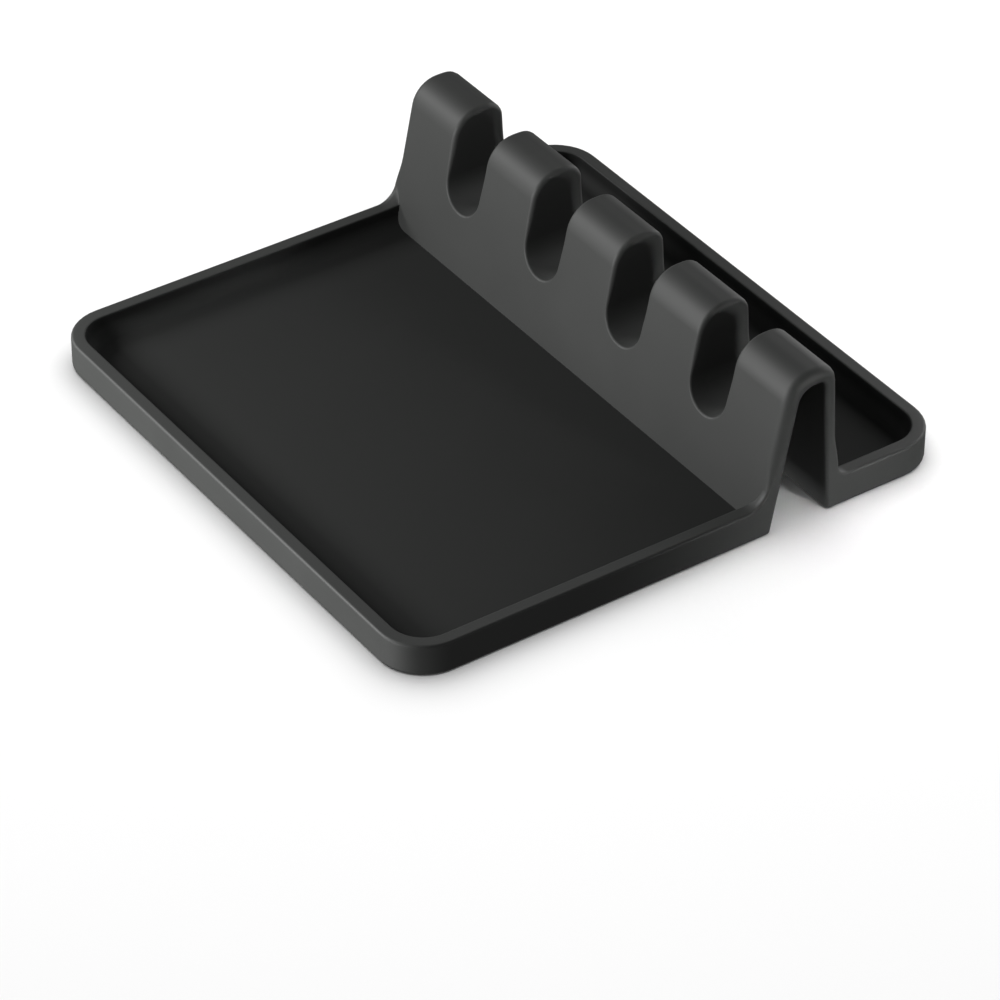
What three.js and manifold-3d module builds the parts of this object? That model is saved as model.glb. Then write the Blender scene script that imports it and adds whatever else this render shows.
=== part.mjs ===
// Utensil rest: a flexible moulding with a large front drip tray, a slotted ridge that utensils
// lie across, and a small rear drip tray.
// Millimetres. +X runs along the ridge, +Y from the front tray to the rear tray, +Z up.
// The origin is on the table, at the middle of the footprint.
import * as THREE from 'three';
import { mergeVertices } from 'three/addons/utils/BufferGeometryUtils.js';
import Module from 'manifold-3d';

const wasm = await Module();
wasm.setup();

// Overall size
const WIDTH = 155;
const DEPTH = 152;
const HEIGHT = 41.5;

// Trays: a flat floor inside a rim that runs round three sides
const RIM_HEIGHT = 8.5;
const RIM_WIDTH = 3.6;
const FLOOR_THICKNESS = 3;
const CORNER_RADIUS = 12;
const FLOOR_FILLET = 3.5; // floor into rim; the floor meets the ridge square
const LARGEST_ROUND = 0.45; // a corner takes at most this share of a narrow outline's short side

// Ridge: an inverted V of even wall, open underneath and at both ends
const WALL = 3.8;
const RIDGE_FOOT_DEPTH = 24; // outside to outside of the two walls, at table level
const REAR_TRAY_DEPTH = 31.4; // back wall to the rear edge of the footprint, at table level
const FRONT_LEAN = THREE.MathUtils.degToRad(11.2); // the front wall leans back
const BACK_LEAN = THREE.MathUtils.degToRad(3.5); // the back wall leans forward
const CROWN_FRONT_SHARE = 0.604; // the crown's radii, as shares of the ridge's depth at its top
const CROWN_BACK_SHARE = 0.378;
const LEAST_INNER_RADIUS = 0.4;
const FRONT_RIM_FILLET = 4.5; // rim top into the front wall
const BACK_RIM_FILLET = 3; // rim top into the back wall

// Slots: round-bottomed channels that leave one more finger than there are slots
const SLOT_COUNT = 4;
const SLOT_WIDTH = 13.3;
const SLOT_BOTTOM = 18.3; // height above the table

// Softened outer edges, and how the curves are divided
const EDGE_ROUND = 0.9;
const EDGE_STEPS = 2;
const ARC_STEPS = 4;

// Moulding regions: each saddle keeps this much plain ridge below and beside its channel, and each
// of the ridge's walls keeps this much tray beside it
const SADDLE_SKIRT = 1;
const WALL_SKIRT = 8.4;

const SILICONE = { color: 0x2c2e2d, roughness: 0.68, metalness: 0 };

// Places worked out from the sizes
const halfWidth = WIDTH / 2;
const frontEdge = -DEPTH / 2;
const rearEdge = DEPTH / 2;
const frontSlope = Math.tan(FRONT_LEAN);
const backSlope = Math.tan(BACK_LEAN);
const backFoot = rearEdge - REAR_TRAY_DEPTH;
const frontFoot = backFoot - RIDGE_FOOT_DEPTH;
const ridgeMiddle = (frontFoot + backFoot) / 2;
const frontFaceAt = (z) => frontFoot + frontSlope * z;
const backFaceAt = (z) => backFoot - backSlope * z;
const crownDepth = backFaceAt(HEIGHT) - frontFaceAt(HEIGHT);
const pocketRadius = CORNER_RADIUS - RIM_WIDTH;
const fingerWidth = (WIDTH - SLOT_COUNT * SLOT_WIDTH) / (SLOT_COUNT + 1);
const slotPitch = fingerWidth + SLOT_WIDTH;
const slotCentres = Array.from(
  { length: SLOT_COUNT },
  (_, i) => -halfWidth + fingerWidth + SLOT_WIDTH / 2 + i * slotPitch,
);

// Where the named regions of the moulding meet
const frontTrayEnd = frontFaceAt(FLOOR_THICKNESS) - WALL_SKIRT;
const rearTrayEnd = backFaceAt(FLOOR_THICKNESS) + WALL_SKIRT;
const combBase = SLOT_BOTTOM - WALL - SADDLE_SKIRT;
const saddleReach = SLOT_WIDTH / 2 + WALL + SADDLE_SKIRT;

// A closed geometry as a solid that can be joined and cut
function solidOf(geometry) {
  const bare = geometry.clone();
  bare.deleteAttribute('normal');
  bare.deleteAttribute('uv');
  const merged = mergeVertices(bare, 1e-5);
  return new wasm.Manifold(
    new wasm.Mesh({
      numProp: 3,
      vertProperties: new Float32Array(merged.attributes.position.array),
      triVerts: new Uint32Array(merged.index.array),
    }),
  );
}

function geometryOf(solid) {
  const mesh = solid.getMesh();
  const geometry = new THREE.BufferGeometry();
  geometry.setAttribute('position', new THREE.BufferAttribute(mesh.vertProperties.slice(), 3));
  geometry.setIndex(new THREE.BufferAttribute(mesh.triVerts.slice(), 1));
  geometry.computeVertexNormals();
  return geometry;
}

// A prism whose two end faces have their edges rounded by the given radius
function extrude(shape, length, edgeRound) {
  const options = { depth: length, bevelEnabled: false, curveSegments: ARC_STEPS };
  if (edgeRound > 0) {
    options.depth = length - 2 * edgeRound;
    options.bevelEnabled = true;
    options.bevelThickness = edgeRound;
    options.bevelSize = edgeRound;
    options.bevelOffset = -edgeRound;
    options.bevelSegments = Math.max(EDGE_STEPS, Math.round(edgeRound));
  }
  return new THREE.ExtrudeGeometry(shape, options).translate(0, 0, edgeRound);
}

// A plan outline in X and Y, raised from one height to another
function raised(shape, zLow, zHigh, edgeRound = 0) {
  return extrude(shape, zHigh - zLow, edgeRound).translate(0, 0, zLow);
}

// A section in Y and Z, run along the whole ridge
function alongRidge(shape, length, edgeRound = 0) {
  const turn = new THREE.Matrix4().makeBasis(
    new THREE.Vector3(0, 1, 0),
    new THREE.Vector3(0, 0, 1),
    new THREE.Vector3(1, 0, 0),
  );
  return extrude(shape, length, edgeRound).applyMatrix4(turn).translate(-length / 2, 0, 0);
}

// An outline in X and Z, run from the front edge to the rear edge
function acrossRidge(shape) {
  return extrude(shape, DEPTH, 0).rotateX(Math.PI / 2).translate(0, rearEdge, 0);
}

function roundedRectangle(xLow, yLow, xHigh, yHigh, wantedRadius) {
  const shortSide = Math.min(xHigh - xLow, yHigh - yLow);
  const radius = Math.min(wantedRadius, LARGEST_ROUND * shortSide);
  const shape = new THREE.Shape();
  shape.absarc(xHigh - radius, yLow + radius, radius, -Math.PI / 2, 0);
  shape.absarc(xHigh - radius, yHigh - radius, radius, 0, Math.PI / 2);
  shape.absarc(xLow + radius, yHigh - radius, radius, Math.PI / 2, Math.PI);
  shape.absarc(xLow + radius, yLow + radius, radius, Math.PI, 1.5 * Math.PI);
  shape.closePath();
  return shape;
}

// Adds the crown to a section that has reached the front wall, ending on the back wall
function addCrown(shape, inset) {
  const top = HEIGHT - inset;
  const frontRadius = Math.max(CROWN_FRONT_SHARE * crownDepth - inset, LEAST_INNER_RADIUS);
  const backRadius = Math.max(CROWN_BACK_SHARE * crownDepth - inset, LEAST_INNER_RADIUS);
  const frontZ = top - frontRadius;
  const backZ = top - backRadius;
  const frontY = frontFaceAt(frontZ) + (inset + frontRadius) / Math.cos(FRONT_LEAN);
  const backY = backFaceAt(backZ) - (inset + backRadius) / Math.cos(BACK_LEAN);
  shape.absarc(frontY, frontZ, frontRadius, Math.PI - FRONT_LEAN, Math.PI / 2, true);
  shape.absarc(backY, backZ, backRadius, Math.PI / 2, BACK_LEAN, true);
}

// The ridge's section, drawn in by an inset and standing on the given height
function ridgeSection(inset, zFoot) {
  const shape = new THREE.Shape();
  shape.moveTo(backFaceAt(zFoot) - inset / Math.cos(BACK_LEAN), zFoot);
  shape.lineTo(frontFaceAt(zFoot) + inset / Math.cos(FRONT_LEAN), zFoot);
  addCrown(shape, inset);
  shape.closePath();
  return shape;
}

// The ridge's section at its two ends, where the rims sweep up into the walls
function ridgeEndSection() {
  const frontZ = RIM_HEIGHT + FRONT_RIM_FILLET;
  const backZ = RIM_HEIGHT + BACK_RIM_FILLET;
  const frontY = frontFaceAt(frontZ) - FRONT_RIM_FILLET / Math.cos(FRONT_LEAN);
  const backY = backFaceAt(backZ) + BACK_RIM_FILLET / Math.cos(BACK_LEAN);
  const shape = new THREE.Shape();
  shape.moveTo(frontTrayEnd, 0);
  shape.lineTo(frontTrayEnd, RIM_HEIGHT);
  shape.absarc(frontY, frontZ, FRONT_RIM_FILLET, -Math.PI / 2, -FRONT_LEAN);
  addCrown(shape, 0);
  shape.absarc(backY, backZ, BACK_RIM_FILLET, Math.PI + BACK_LEAN, 1.5 * Math.PI);
  shape.lineTo(rearTrayEnd, RIM_HEIGHT);
  shape.lineTo(rearTrayEnd, 0);
  shape.closePath();
  return shape;
}

// The hollow of a tray: it runs on under the ridge, which then closes it
function trayPocket(rimY) {
  const outline = roundedRectangle(
    -halfWidth + RIM_WIDTH,
    Math.min(rimY, ridgeMiddle),
    halfWidth - RIM_WIDTH,
    Math.max(rimY, ridgeMiddle),
    pocketRadius,
  );
  return solidOf(raised(outline, FLOOR_THICKNESS, HEIGHT, FLOOR_FILLET));
}

// A round-bottomed slot that runs through the ridge, widened all round by the given amount
function slot(centre, growth) {
  const radius = SLOT_WIDTH / 2 + growth;
  const axisZ = SLOT_BOTTOM + SLOT_WIDTH / 2;
  const mouth = HEIGHT + radius;
  const shape = new THREE.Shape();
  shape.moveTo(centre + radius, mouth);
  shape.lineTo(centre - radius, mouth);
  shape.absarc(centre, axisZ, radius, Math.PI, 1.5 * Math.PI);
  shape.absarc(centre, axisZ, radius, 1.5 * Math.PI, 2 * Math.PI);
  shape.closePath();
  return solidOf(acrossRidge(shape));
}

// The whole moulding, before it is divided into its named regions
function moulding() {
  const footprint = roundedRectangle(-halfWidth, frontEdge, halfWidth, rearEdge, CORNER_RADIUS);
  let body = solidOf(raised(footprint, 0, RIM_HEIGHT, EDGE_ROUND))
    .add(solidOf(alongRidge(ridgeEndSection(), WIDTH, EDGE_ROUND)))
    .subtract(trayPocket(frontEdge + RIM_WIDTH))
    .subtract(trayPocket(rearEdge - RIM_WIDTH))
    .add(solidOf(alongRidge(ridgeSection(0, 0), WIDTH, EDGE_ROUND)));
  let tunnel = solidOf(alongRidge(ridgeSection(WALL, -HEIGHT), 2 * WIDTH));
  for (const centre of slotCentres) {
    body = body.subtract(slot(centre, 0));
    tunnel = tunnel.subtract(slot(centre, WALL));
  }
  return body.subtract(tunnel);
}

// The part of the moulding between the given limits; a limit left out is open
function region(whole, limits) {
  const far = WIDTH + DEPTH + HEIGHT;
  const { xLow = -far, xHigh = far, yLow = -far, yHigh = far, zLow = -far, zHigh = far } = limits;
  const box = new THREE.BoxGeometry(xHigh - xLow, yHigh - yLow, zHigh - zLow).translate(
    (xLow + xHigh) / 2,
    (yLow + yHigh) / 2,
    (zLow + zHigh) / 2,
  );
  return whole.intersect(solidOf(box));
}

const utensilRest = new THREE.Group();

function addRegion(name, solid) {
  const mesh = new THREE.Mesh(geometryOf(solid), new THREE.MeshStandardMaterial(SILICONE));
  mesh.name = name;
  utensilRest.add(mesh);
}

const whole = moulding();
const ridge = region(whole, { yLow: frontTrayEnd, yHigh: rearTrayEnd });
const walls = region(ridge, { zHigh: combBase });
const comb = region(ridge, { zLow: combBase });

addRegion('front_tray', region(whole, { yHigh: frontTrayEnd }));
addRegion('rear_tray', region(whole, { yLow: rearTrayEnd }));
addRegion('ridge_front_wall', region(walls, { yHigh: ridgeMiddle }));
addRegion('ridge_back_wall', region(walls, { yLow: ridgeMiddle }));
slotCentres.forEach((centre, i) => {
  addRegion(
    `slot_saddle_${i + 1}`,
    region(comb, { xLow: centre - saddleReach, xHigh: centre + saddleReach }),
  );
});
for (let i = 0; i <= SLOT_COUNT; i += 1) {
  const limits = {};
  if (i > 0) {
    limits.xLow = slotCentres[i - 1] + saddleReach;
  }
  if (i < SLOT_COUNT) {
    limits.xHigh = slotCentres[i] - saddleReach;
  }
  addRegion(`finger_${i + 1}`, region(comb, limits));
}

export default utensilRest;
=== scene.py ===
"""A utensil rest: one soft silicone moulding with two drip trays and a slotted hollow ridge."""
import math
from contextlib import contextmanager
from typing import NamedTuple

import bmesh
import bpy
from bpy.props import FloatProperty, FloatVectorProperty, IntProperty, PointerProperty
from mathutils import Matrix, Vector


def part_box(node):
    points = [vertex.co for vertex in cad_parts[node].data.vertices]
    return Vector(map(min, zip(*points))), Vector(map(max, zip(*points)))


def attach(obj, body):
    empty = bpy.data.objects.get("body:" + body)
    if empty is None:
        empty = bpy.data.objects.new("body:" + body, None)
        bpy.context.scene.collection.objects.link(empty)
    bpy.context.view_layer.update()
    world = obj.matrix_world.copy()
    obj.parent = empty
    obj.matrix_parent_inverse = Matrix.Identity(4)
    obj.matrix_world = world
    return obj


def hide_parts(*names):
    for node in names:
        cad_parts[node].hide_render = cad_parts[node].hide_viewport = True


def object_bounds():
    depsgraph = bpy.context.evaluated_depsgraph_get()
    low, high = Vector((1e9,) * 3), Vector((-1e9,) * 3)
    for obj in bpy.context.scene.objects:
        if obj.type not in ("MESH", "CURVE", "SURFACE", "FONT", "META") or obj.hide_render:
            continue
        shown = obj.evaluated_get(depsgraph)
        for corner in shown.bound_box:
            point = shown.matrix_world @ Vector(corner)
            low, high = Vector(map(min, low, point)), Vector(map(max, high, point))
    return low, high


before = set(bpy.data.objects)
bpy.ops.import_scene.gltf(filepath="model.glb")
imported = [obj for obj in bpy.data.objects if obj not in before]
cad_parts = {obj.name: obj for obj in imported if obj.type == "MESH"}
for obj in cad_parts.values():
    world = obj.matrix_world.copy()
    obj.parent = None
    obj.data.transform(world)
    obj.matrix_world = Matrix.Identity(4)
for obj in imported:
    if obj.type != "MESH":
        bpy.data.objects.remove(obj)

bl_info = {
    "name": "Silicone utensil rest",
    "version": (1, 0, 0),
    "blender": (4, 5, 0),
    "location": "3D View > Sidebar > Utensil rest",
    "description": "Models a moulded silicone utensil rest and sets it on a studio floor",
    "category": "Add Mesh",
}

MM = 0.001
CAD_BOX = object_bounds()
CAD_SIZE = CAD_BOX[1] - CAD_BOX[0]
RIM_TOP_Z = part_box("front_tray")[1].z

# Points closer than this are one point
WELD = 0.01 * MM

# Facets in each round of the corners and slots, the crown, the rims' sweep and the soft edges
CORNER_STEPS = 10
CROWN_STEPS = 8
SWEEP_STEPS = 8
SOFT_STEPS = 4

# The height over which the rounds on the ridge's straight edges grow to their full size,
# and the longest piece that such an edge is split into
ROUND_RISE = 8 * MM
ROUND_PIECE = 1.5 * MM

# Room that keeps every edge's weight below 1, because a round reaches further on a sharper edge
WEIGHT_ROOM = 1.2

# An edge without a round that turns by more than this is a crease
SHARP = math.radians(30)

# Settings of the shading by which the largest face at a point alone sets its normal
LARGEST_ALONE = 100
SAME_WEIGHT = 0.00001

# The surfaces of the moulding, by which its edges are told apart
FLOOR, RECESS, RIM, OUTSIDE, RIDGE, CHANNEL, TUNNEL, END, UNDERSIDE = range(1, 10)


# Settings that a user would change


def millimetres(name, description, size):
    """A length property whose default is given in millimetres."""
    return FloatProperty(
        name=name,
        description=description,
        default=size * MM,
        min=0,
        subtype="DISTANCE",
        unit="LENGTH",
    )


def degrees(name, description, turn):
    """An angle property whose default is given in degrees."""
    return FloatProperty(
        name=name,
        description=description,
        default=math.radians(turn),
        subtype="ANGLE",
        unit="ROTATION",
    )


def factor(name, description, value):
    """A property between 0 and 1."""
    return FloatProperty(
        name=name,
        description=description,
        default=value,
        min=0,
        max=1,
        subtype="FACTOR",
    )


def linear(hex_colour):
    """The linear red, green and blue of an sRGB hex colour."""
    values = [int(hex_colour[i : i + 2], 16) / 255 for i in (1, 3, 5)]
    return [v / 12.92 if v <= 0.04045 else ((v + 0.055) / 1.055) ** 2.4 for v in values]


def colour(name, description, hex_colour):
    """A colour property whose default is given as an sRGB hex value."""
    return FloatVectorProperty(
        name=name,
        description=description,
        default=linear(hex_colour),
        min=0,
        max=1,
        size=3,
        subtype="COLOR",
    )


class MouldingSizes(bpy.types.PropertyGroup):
    """The sizes of the moulding."""

    width: millimetres("Width", "Length of the ridge, from end to end", CAD_SIZE.x / MM)
    depth: millimetres("Depth", "Front edge to rear edge", CAD_SIZE.y / MM)
    height: millimetres("Height", "Table to the top of the ridge", CAD_SIZE.z / MM)
    rim_height: millimetres("Rim height", "Table to the top of the rim", RIM_TOP_Z / MM)
    rim_width: millimetres("Rim width", "Thickness of the rim", 3.6)
    floor_height: millimetres("Floor height", "Thickness of the tray floors", 3)
    corner_radius: millimetres("Corner radius", "Round of the footprint's corners", 12)
    wall: millimetres("Wall", "Thickness of the ridge's wall", 3.8)
    front_foot: millimetres("Front foot", "Front edge to the front wall, at the table", 96.6)
    ridge_depth: millimetres("Ridge depth", "Front wall to back wall, at the table", 24)
    front_lean: degrees("Front lean", "Lean of the ridge's front wall", 11.2)
    back_lean: degrees("Back lean", "Lean of the ridge's back wall", 3.5)
    crown_front: millimetres("Crown front", "Round at the front of the crown", 8)
    crown_back: millimetres("Crown back", "Round at the back of the crown", 5)
    front_sweep: millimetres("Front sweep", "Round from the front rim up to the ridge", 4.5)
    back_sweep: millimetres("Back sweep", "Round from the rear rim up to the ridge", 3)
    slot_count: IntProperty(name="Slots", description="Slots in the ridge", default=4, min=1)
    slot_width: millimetres("Slot width", "Width of a slot", 13.3)
    slot_bottom: millimetres("Slot bottom", "Table to the bottom of a slot", 18.3)
    slot_round: millimetres("Slot round", "Softness of the slots' mouths at their bottom", 0.7)
    finger_round: millimetres("Finger round", "Softness of the fingers' sides at the crown", 1.3)
    outer_round: millimetres("Outer round", "Softness of the rims' outer edges", 0.7)
    end_round: millimetres("End round", "Softness of the ridge's ends, above the rims", 2.4)
    edge_land: millimetres("Edge land", "Width of the rim that its outer round may use", 1.6)
    inner_round: millimetres("Inner round", "Softness of the rims' inner edges", 0.5)
    floor_round: millimetres("Floor round", "Hollow round between floor and rim", 3.5)
    foot_round: millimetres("Foot round", "Softness of the edges on the table", 1)


class SiliconeLook(bpy.types.PropertyGroup):
    """The finish of the moulding, and the painted shade inside its trays."""

    skin: colour("Skin", "Colour of the blasted skin", "#313231")
    bloom: colour("Bloom", "Colour where the skin is drier and paler", "#393a39")
    # The tray colour is painted shade: a deeper black inside the recessed trays
    tray: colour("Tray", "Colour inside the trays, where the mould is rougher", "#1c1d1c")
    skin_roughness: factor("Skin roughness", "Roughness of the blasted skin", 0.5)
    bloom_roughness: factor("Bloom roughness", "Roughness where the skin is drier", 0.6)
    tray_roughness: factor("Tray roughness", "Roughness added inside the trays", 0.25)
    bloom_size: millimetres("Bloom size", "Width of the drier patches", 28)
    grain_size: millimetres("Grain size", "Width of the grain as it is drawn", 0.5)
    grain_height: millimetres("Grain height", "Height of the grain", 0.05)


class StudioSet(bpy.types.PropertyGroup):
    """The camera, the floor and the even light."""

    azimuth: degrees("Azimuth", "Camera's turn from the front towards the right", 55.22)
    elevation: degrees("Elevation", "Camera's height above the horizon", 37.17)
    roll: degrees("Roll", "Camera's turn about its own line of sight", 0.38)
    stand_off: millimetres("Stand-off", "Camera to the point that it looks at", 1156.2)
    aim_across: millimetres("Aim across", "Aim to the right of the middle, in the picture", 1.62)
    aim_down: millimetres("Aim down", "Aim below the middle, in the picture", 22.44)
    lens: FloatProperty(name="Lens", description="Focal length", default=174, unit="CAMERA")
    floor: colour("Floor", "Colour of the studio floor", "#f4f4f4")
    floor_reach: millimetres("Floor reach", "Middle of the floor to its edges", 3000)
    air: factor("Air", "Strength of the even light from all round", 0.125)


# Modelling steps


@contextmanager
def surface(bm, kind):
    """Marks the faces that are added inside the block as one surface of the moulding."""
    layer = bm.faces.layers.int["surface"]
    known = set(bm.faces)
    yield
    for face in set(bm.faces) - known:
        face[layer] = kind


def extruded(bm, edges):
    """Extrudes a chain of edges in place, and gives the new chain's points and edges."""
    made = bmesh.ops.extrude_edge_only(bm, edges=edges)["geom"]
    points = [item for item in made if isinstance(item, bmesh.types.BMVert)]
    chain = [item for item in made if isinstance(item, bmesh.types.BMEdge)]
    return points, [edge for edge in chain if set(edge.verts) <= set(points)]


def rounded_corners(bm, points, radius):
    """Rounds the corners of a flat outline."""
    bmesh.ops.bevel(
        bm,
        geom=points,
        offset=radius,
        offset_type="OFFSET",
        affect="VERTICES",
        segments=CORNER_STEPS,
        profile=0.5,
        material=-1,
    )


class Wall:
    """One wall of the ridge: how it stands and leans inward, and the round that ends it."""

    def __init__(self, foot, inward, lean, crown_round, top, inset):
        radius = crown_round - inset
        at_table = foot + inward * inset / math.cos(lean)
        self.slope = inward * math.tan(lean)
        self.stand = Matrix.Translation((0, at_table, 0)) @ Matrix.Shear("XY", 4, (0, self.slope))
        self.turn = math.pi / 2 - lean
        self.high = top - radius * (1 - math.sin(lean))
        beside_axis = self.stand @ Vector((0, 0, top - radius))
        self.axis = beside_axis + Vector((0, inward * radius / math.cos(lean), 0))


class Ridge:
    """The two walls of the ridge, for a skin that lies the given inset below its outside."""

    def __init__(self, sizes, inset):
        front = sizes.front_foot - sizes.depth / 2
        back = front + sizes.ridge_depth
        top = sizes.height - inset
        self.front = Wall(front, 1, sizes.front_lean, sizes.crown_front, top, inset)
        self.back = Wall(back, -1, sizes.back_lean, sizes.crown_back, top, inset)
        self.middle = (self.front.axis.y + self.back.axis.y) / 2


def spun(bm, edges, wall):
    """Turns a row of edges backwards through a wall's round, and gives the last row."""
    made = bmesh.ops.spin(
        bm,
        geom=edges + [point for edge in edges for point in edge.verts],
        cent=wall.axis,
        axis=(-1, 0, 0),
        angle=wall.turn,
        steps=CROWN_STEPS,
    )["geom_last"]
    return [item for item in made if isinstance(item, bmesh.types.BMEdge)]


def slot_centres(sizes):
    """The slots' places along the ridge, with fingers of one width between and outside them."""
    finger = (sizes.width - sizes.slot_count * sizes.slot_width) / (sizes.slot_count + 1)
    first = -sizes.width / 2 + finger + sizes.slot_width / 2
    return [first + i * (finger + sizes.slot_width) for i in range(sizes.slot_count)]


def comb_wall(bm, sizes, inset, foot, wall):
    """One wall of the ridge: a flat strip with a round-bottomed notch for each slot, leaned."""
    half = sizes.width / 2
    reach = sizes.slot_width / 2 + inset
    bottom = sizes.slot_bottom - inset
    outline = [*foot, (half, wall.high)]
    for centre in reversed(slot_centres(sizes)):
        notch = ((reach, wall.high), (reach, bottom), (-reach, bottom), (-reach, wall.high))
        outline += [(centre + x, z) for x, z in notch]
    outline.append((-half, wall.high))
    known = set(bm.verts)
    bm.faces.new([bm.verts.new((x, 0, z)) for x, z in outline])
    corners = [v for v in bm.verts if v not in known and abs(v.co.z - bottom) < WELD]
    rounded_corners(bm, corners, reach)
    bmesh.ops.transform(bm, matrix=wall.stand, verts=[v for v in bm.verts if v not in known])


def ridge_skin(bm, sizes, inset, front_foot, back_foot, wall_kind, channel_kind):
    """One skin of the ridge: its two walls, the crown over each finger and the slots' channels."""
    ridge = Ridge(sizes, inset)
    front, back = ridge.front, ridge.back
    known = set(bm.verts)
    with surface(bm, wall_kind):
        comb_wall(bm, sizes, inset, front_foot, front)
        row = [
            edge
            for edge in bm.edges
            if known.isdisjoint(edge.verts)
            and all(abs(v.co.z - front.high) < WELD for v in edge.verts)
        ]
        comb_wall(bm, sizes, inset, back_foot, back)
        row = spun(bm, row, front)
        points, row = extruded(bm, row)
        bmesh.ops.translate(bm, verts=points, vec=(0, back.axis.y - front.axis.y, 0))
        spun(bm, row, back)
        skin = [v for v in bm.verts if v not in known]
        bmesh.ops.remove_doubles(bm, verts=skin, dist=WELD)
    with surface(bm, channel_kind):
        for centre in slot_centres(sizes):
            slot_channel(bm, ridge, known, centre, sizes.slot_width / 2 + inset)


def slot_channel(bm, ridge, known, centre, reach):
    """Joins a slot's two notches by a channel, and closes the finger sides above it."""

    def open_edges():
        return [
            edge
            for edge in bm.edges
            if edge.is_boundary
            and known.isdisjoint(edge.verts)
            and all(abs(v.co.x - centre) < reach + WELD for v in edge.verts)
        ]

    def side_of(point):
        return math.copysign(1, point.co.y - ridge.middle)

    def notch(wall, side):
        return [
            edge
            for edge in open_edges()
            if all(side_of(v) == side and v.co.z < wall.high + WELD for v in edge.verts)
        ]

    bmesh.ops.bridge_loops(bm, edges=notch(ridge.front, -1) + notch(ridge.back, 1))
    crown = max(ridge.front.high, ridge.back.high) + WELD
    seams = [
        edge
        for edge in open_edges()
        if side_of(edge.verts[0]) != side_of(edge.verts[1])
        and all(v.co.z < crown for v in edge.verts)
    ]
    bmesh.ops.holes_fill(bm, edges=open_edges(), sides=0)
    bmesh.ops.dissolve_edges(bm, edges=seams)


def wall_foot(sizes, sweep):
    """The foot of a wall: along the tray's floor, up the recess and out to the top of the sweep."""
    half = sizes.width / 2
    recess = half - sizes.rim_width
    top = sizes.rim_height + sweep
    right = [
        (recess, sizes.floor_height),
        (recess, sizes.rim_height),
        (half - sizes.edge_land, top),
        (half, top),
    ]
    return [(-x, z) for x, z in reversed(right)] + right


def tray(bm, sizes, wall, rim_edge, sweep):
    """One drip tray: floor, recess, rim and outside, open at the two ends of the ridge."""
    out = math.copysign(1, rim_edge)
    rim_y = rim_edge - out * sizes.rim_width
    wall_y = (wall.stand @ Vector((0, 0, sizes.floor_height))).y
    corner = Vector((sizes.width / 2 - sizes.corner_radius, rim_edge - out * sizes.corner_radius))

    def at_wall(point):
        return abs(point.co.y - wall_y) < WELD

    def past_corner(point):
        return (point.co.y - corner.y) * out > -WELD

    def spread_out(points, step):
        for point in points:
            centre = Vector((math.copysign(corner.x, point.co.x), corner.y))
            if not past_corner(point):
                point.co.x += math.copysign(step, point.co.x)
            elif abs(point.co.x) < corner.x:
                point.co.y += out * step
            else:
                point.co.xy += (point.co.xy - centre).normalized() * step

    with surface(bm, FLOOR):
        place = Matrix.Translation((0, (rim_y + wall_y) / 2, sizes.floor_height))
        spread = Matrix.Diagonal((sizes.width - 2 * sizes.rim_width, abs(wall_y - rim_y), 1, 1))
        known = set(bm.verts)
        bmesh.ops.create_grid(bm, x_segments=1, y_segments=1, size=0.5, matrix=place @ spread)
        corners = [v for v in bm.verts if v not in known and not at_wall(v)]
        rounded_corners(bm, corners, sizes.corner_radius - sizes.rim_width)
        edges = [edge for edge in bm.edges if known.isdisjoint(edge.verts)]
    with surface(bm, RECESS):
        edges = [edge for edge in edges if not all(at_wall(v) for v in edge.verts)]
        brim, edges = extruded(bm, edges)
        for point in brim:
            point.co.z = sizes.rim_height
        # The brim's two sides get the points that the sweep is laid out on
        sides = [edge for edge in edges if any(at_wall(v) for v in edge.verts)]
        near = [v for v in brim if at_wall(v)]
        for edge in sides * SWEEP_STEPS:
            part, point = bmesh.utils.edge_split(edge, edge.verts[0], 0.5)
            edges.append(part)
            near.append(point)
    with surface(bm, RIM):
        ledge, edges = extruded(bm, edges)
        spread_out(ledge, sizes.rim_width - sizes.edge_land)
        border, edges = extruded(bm, edges)
        spread_out(border, sizes.edge_land)
    with surface(bm, OUTSIDE):
        edges = [edge for edge in edges if all(past_corner(v) for v in edge.verts)]
        foot, edges = extruded(bm, edges)
        for point in foot:
            point.co.z = 0
    # The sweep rises at the rim's outside and fades to nothing at its inner edge
    for side in (-1, 1):
        for chain, rise in ((near, 0), (ledge, sweep), (border, sweep)):
            row = [v for v in chain if v.co.x * side > 0 and not past_corner(v)]
            row.sort(key=lambda v: abs(v.co.y - wall_y))
            for i, point in enumerate(row[: SWEEP_STEPS + 1]):
                turn = math.pi / 2 * i / SWEEP_STEPS
                point.co.z += rise * (1 - math.sin(turn))
                lean = wall.slope * (point.co.z - sizes.floor_height)
                point.co.y = wall_y + lean + out * sweep * (1 - math.cos(turn))


def close_ends(bm, sizes):
    """Closes the moulding: the two ends of the ridge and rims, and the undersides of the trays."""
    for end in (-sizes.width / 2, sizes.width / 2):
        plane = {v for v in bm.verts if abs(v.co.x - end) < WELD}
        feet = sorted((v for v in plane if v.co.z < WELD), key=lambda v: v.co.y)
        for pair in (feet[:2], feet[2:]):
            bm.edges.new(pair)
        with surface(bm, END):
            edges = [e for e in bm.edges if len(e.link_faces) < 2 and plane.issuperset(e.verts)]
            bmesh.ops.contextual_create(bm, geom=edges)
    open_edges = [edge for edge in bm.edges if edge.is_boundary]
    middle = Ridge(sizes, 0).middle
    with surface(bm, UNDERSIDE):
        for out in (-1, 1):
            edges = [e for e in open_edges if all((v.co.y - middle) * out > 0 for v in e.verts)]
            bmesh.ops.contextual_create(bm, geom=edges)


def in_pieces(edge, length):
    """Splits an edge into pieces that are no longer than the given length."""
    point = edge.verts[0]
    for left in range(math.ceil(edge.calc_length() / length), 1, -1):
        point = bmesh.utils.edge_split(edge, point, 1 / left)[1]


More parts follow.
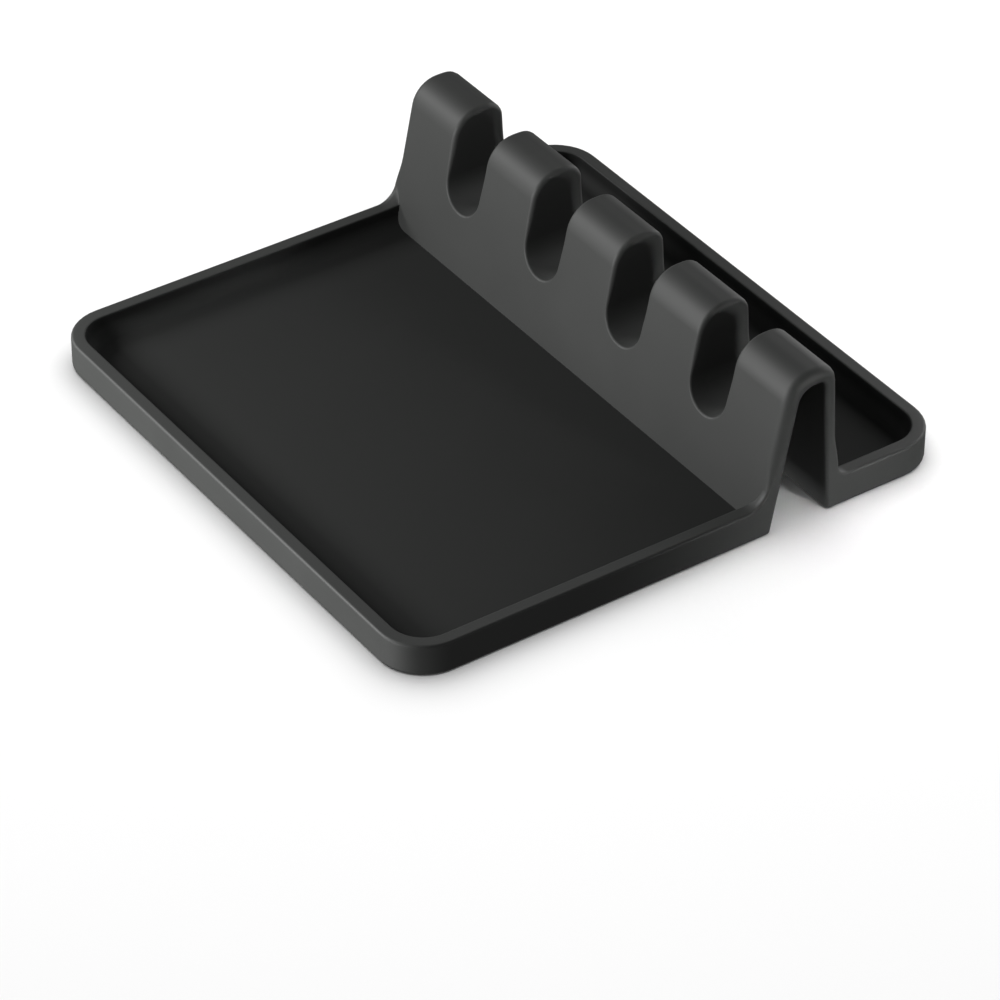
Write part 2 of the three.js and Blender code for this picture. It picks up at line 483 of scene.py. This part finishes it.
def weigh_rounds(bm, sizes):
    """Weighs each edge by how far its round reaches, and gives the reach of weight 1."""
    rounds = {
        (FLOOR, RECESS): sizes.floor_round,
        (RECESS, RIM): sizes.inner_round,
        (RIM, OUTSIDE): sizes.outer_round,
        (TUNNEL, END): sizes.foot_round,
        (OUTSIDE, UNDERSIDE): sizes.foot_round,
        (TUNNEL, UNDERSIDE): sizes.foot_round,
        (END, UNDERSIDE): sizes.foot_round,
    }
    # Rounds that grow up the ridge: the height where they start, and their least and most radius
    sweep_top = sizes.rim_height + max(sizes.front_sweep, sizes.back_sweep)
    bend_top = sizes.slot_bottom + sizes.slot_width / 2
    end_rounds = (sweep_top, sizes.outer_round, sizes.end_round)
    slot_rounds = (bend_top, sizes.slot_round, sizes.finger_round)
    growing = {(RIM, END): end_rounds, (RIDGE, END): end_rounds, (RIDGE, CHANNEL): slot_rounds}
    kind = bm.faces.layers.int["surface"]

    def meeting(edge):
        return tuple(sorted(face[kind] for face in edge.link_faces))

    def radius_of(edge):
        if meeting(edge) not in growing:
            return rounds.get(meeting(edge), 0)
        start, least, most = growing[meeting(edge)]
        middle = (edge.verts[0].co.z + edge.verts[1].co.z) / 2
        share = min(max((middle - start) / ROUND_RISE, 0), 1)
        eased = share * share * (3 - 2 * share)
        return least + (most - least) * eased

    for edge in [edge for edge in bm.edges if meeting(edge) in growing]:
        in_pieces(edge, ROUND_PIECE)
    weight = bm.edges.layers.float.new("bevel_weight_edge")
    longest = WEIGHT_ROOM * max(*rounds.values(), sizes.end_round, sizes.finger_round)
    for edge in bm.edges:
        radius = radius_of(edge)
        turn = edge.calc_face_angle()
        edge[weight] = radius * math.tan(turn / 2) / longest
        edge.smooth = radius > 0 or turn < SHARP or meeting(edge) == (RIM, RIM)
    return longest


def soften(piece, longest):
    """Gives a piece live rounds on its weighed edges, and evenly shaded flats between them."""
    rounds = piece.modifiers.new("Soft edges", "BEVEL")
    rounds.limit_method = "WEIGHT"
    rounds.width = longest
    rounds.segments = SOFT_STEPS
    rounds.profile = 0.5
    rounds.use_clamp_overlap = False
    flats = piece.modifiers.new("Even flats", "WEIGHTED_NORMAL")
    flats.weight = LARGEST_ALONE
    flats.thresh = SAME_WEIGHT
    flats.keep_sharp = True


def model_moulding(sizes):
    """The whole moulding as one closed mesh, with live rounds on its edges."""
    bm = bmesh.new()
    bm.faces.layers.int.new("surface")
    feet = [wall_foot(sizes, sweep) for sweep in (sizes.front_sweep, sizes.back_sweep)]
    ridge_skin(bm, sizes, 0, *feet, RIDGE, CHANNEL)
    table = [(-sizes.width / 2, 0), (sizes.width / 2, 0)]
    ridge_skin(bm, sizes, sizes.wall, table, table, TUNNEL, TUNNEL)
    outside = Ridge(sizes, 0)
    tray(bm, sizes, outside.front, -sizes.depth / 2, sizes.front_sweep)
    tray(bm, sizes, outside.back, sizes.depth / 2, sizes.back_sweep)
    bmesh.ops.remove_doubles(bm, verts=bm.verts, dist=WELD)
    close_ends(bm, sizes)
    gaps = sum(not edge.is_manifold for edge in bm.edges)
    if gaps:
        raise RuntimeError(f"the moulding is open at {gaps} edges")
    bmesh.ops.recalc_face_normals(bm, faces=bm.faces)
    longest = weigh_rounds(bm, sizes)
    for face in bm.faces:
        face.smooth = True
    mesh = bpy.data.meshes.new("silicone_moulding")
    bm.to_mesh(mesh)
    bm.free()
    piece = bpy.data.objects.new("silicone_moulding", mesh)
    bpy.context.scene.collection.objects.link(piece)
    soften(piece, longest)
    return piece


# Materials

# A Mix node's sockets for colours, which share their names with its other sockets
MIX_A, MIX_B, MIX_RESULT = 6, 7, 2


def add_node(tree, kind, settings, links):
    """Adds a node, sets its properties and sockets, and links its sockets from other nodes.

    A socket is given by its name, or by its place where others share the name.
    """
    node = tree.nodes.new(kind)
    for name, value in settings.items():
        if isinstance(name, int) or name in node.inputs:
            node.inputs[name].default_value = value
        else:
            setattr(node, name, value)
    for name, source in links.items():
        tree.links.new(source, node.inputs[name])
    return node


def new_material(name):
    """A material without nodes, and its node tree."""
    material = bpy.data.materials.new(name)
    material.use_nodes = True
    material.node_tree.nodes.clear()
    return material, material.node_tree


def moulded_silicone(look):
    """Black silicone rubber from a fine-blasted mould: matte, with a faint dry bloom and no shine.

    The mould is rougher where it forms the inside of the trays, so that is duller; the deeper black
    there is painted shade, darkening the recessed trays.
    """
    material, tree = new_material("moulded_silicone_rubber")
    place = add_node(tree, "ShaderNodeTexCoord", {}, {}).outputs["Object"]
    cloud = add_node(
        tree,
        "ShaderNodeTexNoise",
        {"Scale": 1 / look.bloom_size, "Detail": 3, "Roughness": 0.55},
        {"Vector": place},
    ).outputs["Fac"]
    tone = add_node(
        tree,
        "ShaderNodeMix",
        {"data_type": "RGBA", MIX_A: (*look.skin, 1), MIX_B: (*look.bloom, 1)},
        {"Factor": cloud},
    ).outputs[MIX_RESULT]
    # Inside the trays the skin gives way to the tray colour, which is painted shade, and the
    # roughness is raised
    kind = add_node(tree, "ShaderNodeAttribute", {"attribute_name": "surface"}, {}).outputs["Fac"]
    tray_shade_and_roughness = add_node(
        tree,
        "ShaderNodeMath",
        {"operation": "LESS_THAN", 1: (RECESS + RIM) / 2},
        {0: kind},
    ).outputs["Value"]
    shade = add_node(
        tree,
        "ShaderNodeMix",
        {"data_type": "RGBA", MIX_B: (*look.tray, 1)},
        {"Factor": tray_shade_and_roughness, MIX_A: tone},
    ).outputs[MIX_RESULT]
    dull = add_node(
        tree,
        "ShaderNodeMapRange",
        {"To Min": look.skin_roughness, "To Max": look.bloom_roughness},
        {"Value": cloud},
    ).outputs["Result"]
    duller = add_node(
        tree,
        "ShaderNodeMath",
        {"operation": "MULTIPLY_ADD", 1: look.tray_roughness},
        {0: tray_shade_and_roughness, 2: dull},
    ).outputs["Value"]
    # The real grain is about 0.05 mm, too fine for the picture, so it is drawn ten times as coarse
    grain = add_node(
        tree,
        "ShaderNodeTexNoise",
        {"Scale": 1 / look.grain_size, "Detail": 2, "Roughness": 0.6},
        {"Vector": place},
    ).outputs["Fac"]
    bump = add_node(
        tree,
        "ShaderNodeBump",
        {"Strength": 0.12, "Distance": look.grain_height},
        {"Height": grain},
    ).outputs["Normal"]
    shader = add_node(
        tree,
        "ShaderNodeBsdfPrincipled",
        {"IOR": 1.43, "Specular IOR Level": 0.4},
        {"Base Color": shade, "Roughness": duller, "Normal": bump},
    ).outputs["BSDF"]
    add_node(tree, "ShaderNodeOutputMaterial", {}, {"Surface": shader})
    return material


def studio_paper(pale):
    """Matte white background paper: pale all over, without gloss."""
    material, tree = new_material("studio_paper")
    shader = add_node(
        tree,
        "ShaderNodeBsdfPrincipled",
        {"Base Color": (*pale, 1), "Roughness": 0.9, "Specular IOR Level": 0.1},
        {},
    ).outputs["BSDF"]
    add_node(tree, "ShaderNodeOutputMaterial", {}, {"Surface": shader})
    return material


# Stage


class SoftBox(NamedTuple):
    """A square soft light, and where it hangs as seen from the place that it points at."""

    turn: float  # degrees from the front towards the right
    rise: float  # degrees above the table
    distance: float  # metres
    side: float  # metres
    power: float  # watts


# The soft boxes that light the moulding alone
SOFT_BOXES = {
    "front_light": SoftBox(turn=-16, rise=20, distance=0.27, side=0.05, power=0.64),
    "left_light": SoftBox(turn=-58, rise=26, distance=1.0, side=0.3, power=6.4),
    "back_light": SoftBox(turn=-150, rise=40, distance=1.0, side=0.4, power=0.5),
    "rear_light": SoftBox(turn=-175, rise=20, distance=0.34, side=0.3, power=0.62),
    "fill_light": SoftBox(turn=95, rise=14, distance=1.0, side=0.4, power=0.5),
    "bounce_light": SoftBox(turn=0, rise=-10, distance=0.6, side=0.3, power=2.5),
}

# The soft box that lights the floor alone
PAPER_LIGHT = SoftBox(turn=-120, rise=72, distance=0.9, side=1.8, power=20.5)

# The soft box for the rear end of the right side: a grid narrows its beam, which points at
# these shares of the way from the middle of the table to the top of the rear right corner
END_LIGHT = SoftBox(turn=103, rise=10, distance=0.3, side=0.06, power=0.0145)
END_BEAM = math.radians(16)
END_AIM = (1, 0.62, 0.2)


def outward(turn, rise):
    """The direction from the middle of the table, turned from the front towards the right."""
    level = math.cos(rise)
    return Vector((math.sin(turn) * level, -math.cos(turn) * level, math.sin(rise)))


def hang(name, box, lit, aim=(0, 0, 0), beam=math.pi):
    """Hangs a soft box that points at one place and lights only the given objects."""
    light = bpy.data.lights.new(name, "AREA")
    light.shape = "SQUARE"
    light.size = box.side
    light.energy = box.power
    light.spread = beam
    lamp = bpy.data.objects.new(name, light)
    direction = outward(math.radians(box.turn), math.radians(box.rise))
    lamp.location = Vector(aim) + direction * box.distance
    lamp.rotation_euler = direction.to_track_quat("Z", "Y").to_euler()
    lamp.light_linking.receiver_collection = bpy.data.collections.new(name)
    for receiver in lit:
        lamp.light_linking.receiver_collection.objects.link(receiver)
    bpy.context.scene.collection.objects.link(lamp)


def studio_floor(studio):
    """A sheet of pale paper under the moulding."""
    mesh = bpy.data.meshes.new("studio_floor")
    bm = bmesh.new()
    bmesh.ops.create_grid(bm, x_segments=1, y_segments=1, size=studio.floor_reach)
    bm.to_mesh(mesh)
    bm.free()
    mesh.materials.append(studio_paper(studio.floor))
    floor = bpy.data.objects.new("studio_floor", mesh)
    bpy.context.scene.collection.objects.link(floor)
    # The moulding would mirror the bright paper, so the paper shows only to the camera
    # and the bounce light under it gives what it throws back
    floor.visible_diffuse = False
    floor.visible_glossy = False
    floor.visible_shadow = False
    return floor


def studio_air(strength):
    """An even white light from all round."""
    world = bpy.data.worlds.new("studio_air")
    world.use_nodes = True
    air = world.node_tree.nodes["Background"]
    air.inputs["Color"].default_value = (1, 1, 1, 1)
    air.inputs["Strength"].default_value = strength
    bpy.context.scene.world = world


def studio_camera(studio):
    """The camera at the photograph's viewing angle."""
    back = outward(studio.azimuth, studio.elevation)
    right = Vector((math.cos(studio.azimuth), math.sin(studio.azimuth), 0))
    level = Matrix((right, back.cross(right), back)).transposed()
    turned = level @ Matrix.Rotation(studio.roll, 3, "Z")
    eye = turned @ Vector((studio.aim_across, -studio.aim_down, studio.stand_off))
    data = bpy.data.cameras.new("studio_camera")
    data.lens = studio.lens
    camera = bpy.data.objects.new("studio_camera", data)
    camera.matrix_world = Matrix.Translation(eye) @ turned.to_4x4()
    bpy.context.scene.collection.objects.link(camera)
    bpy.context.scene.camera = camera


# Add-on


class UTENSIL_REST_OT_moulding(bpy.types.Operator):
    """Model the silicone moulding in place of its solids"""

    bl_idname = "utensil_rest.moulding"
    bl_label = "Silicone moulding"

    def execute(self, context):
        piece = model_moulding(context.scene.rest_sizes)
        piece.data.materials.append(moulded_silicone(context.scene.rest_silicone))
        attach(piece, "root")
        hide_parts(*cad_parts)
        return {"FINISHED"}


class UTENSIL_REST_OT_studio(bpy.types.Operator):
    """Set up the floor, the soft lights and the camera"""

    bl_idname = "utensil_rest.studio"
    bl_label = "Studio"

    def execute(self, context):
        studio = context.scene.rest_studio
        moulding = bpy.data.objects["silicone_moulding"]
        floor = studio_floor(studio)
        hang("paper_light", PAPER_LIGHT, [floor])
        for name, box in SOFT_BOXES.items():
            hang(name, box, [moulding])
        hang("end_light", END_LIGHT, [moulding, floor], Vector(END_AIM) * CAD_BOX[1], END_BEAM)
        studio_air(studio.air)
        studio_camera(studio)
        context.scene.view_settings.view_transform = "Standard"
        return {"FINISHED"}


class VIEW3D_PT_utensil_rest(bpy.types.Panel):
    """Lists the steps that build the utensil rest"""

    bl_label = "Utensil rest"
    bl_space_type = "VIEW_3D"
    bl_region_type = "UI"
    bl_category = "Utensil rest"

    def draw(self, context):
        self.layout.operator(UTENSIL_REST_OT_moulding.bl_idname)
        self.layout.operator(UTENSIL_REST_OT_studio.bl_idname)


CLASSES = (
    MouldingSizes,
    SiliconeLook,
    StudioSet,
    UTENSIL_REST_OT_moulding,
    UTENSIL_REST_OT_studio,
    VIEW3D_PT_utensil_rest,
)


def register():
    for cls in CLASSES:
        bpy.utils.register_class(cls)
    bpy.types.Scene.rest_sizes = PointerProperty(type=MouldingSizes)
    bpy.types.Scene.rest_silicone = PointerProperty(type=SiliconeLook)
    bpy.types.Scene.rest_studio = PointerProperty(type=StudioSet)


def unregister():
    del bpy.types.Scene.rest_studio
    del bpy.types.Scene.rest_silicone
    del bpy.types.Scene.rest_sizes
    for cls in reversed(CLASSES):
        bpy.utils.unregister_class(cls)


def main():
    register()
    bpy.ops.utensil_rest.moulding()
    bpy.ops.utensil_rest.studio()


if __name__ == "__main__":
    main()
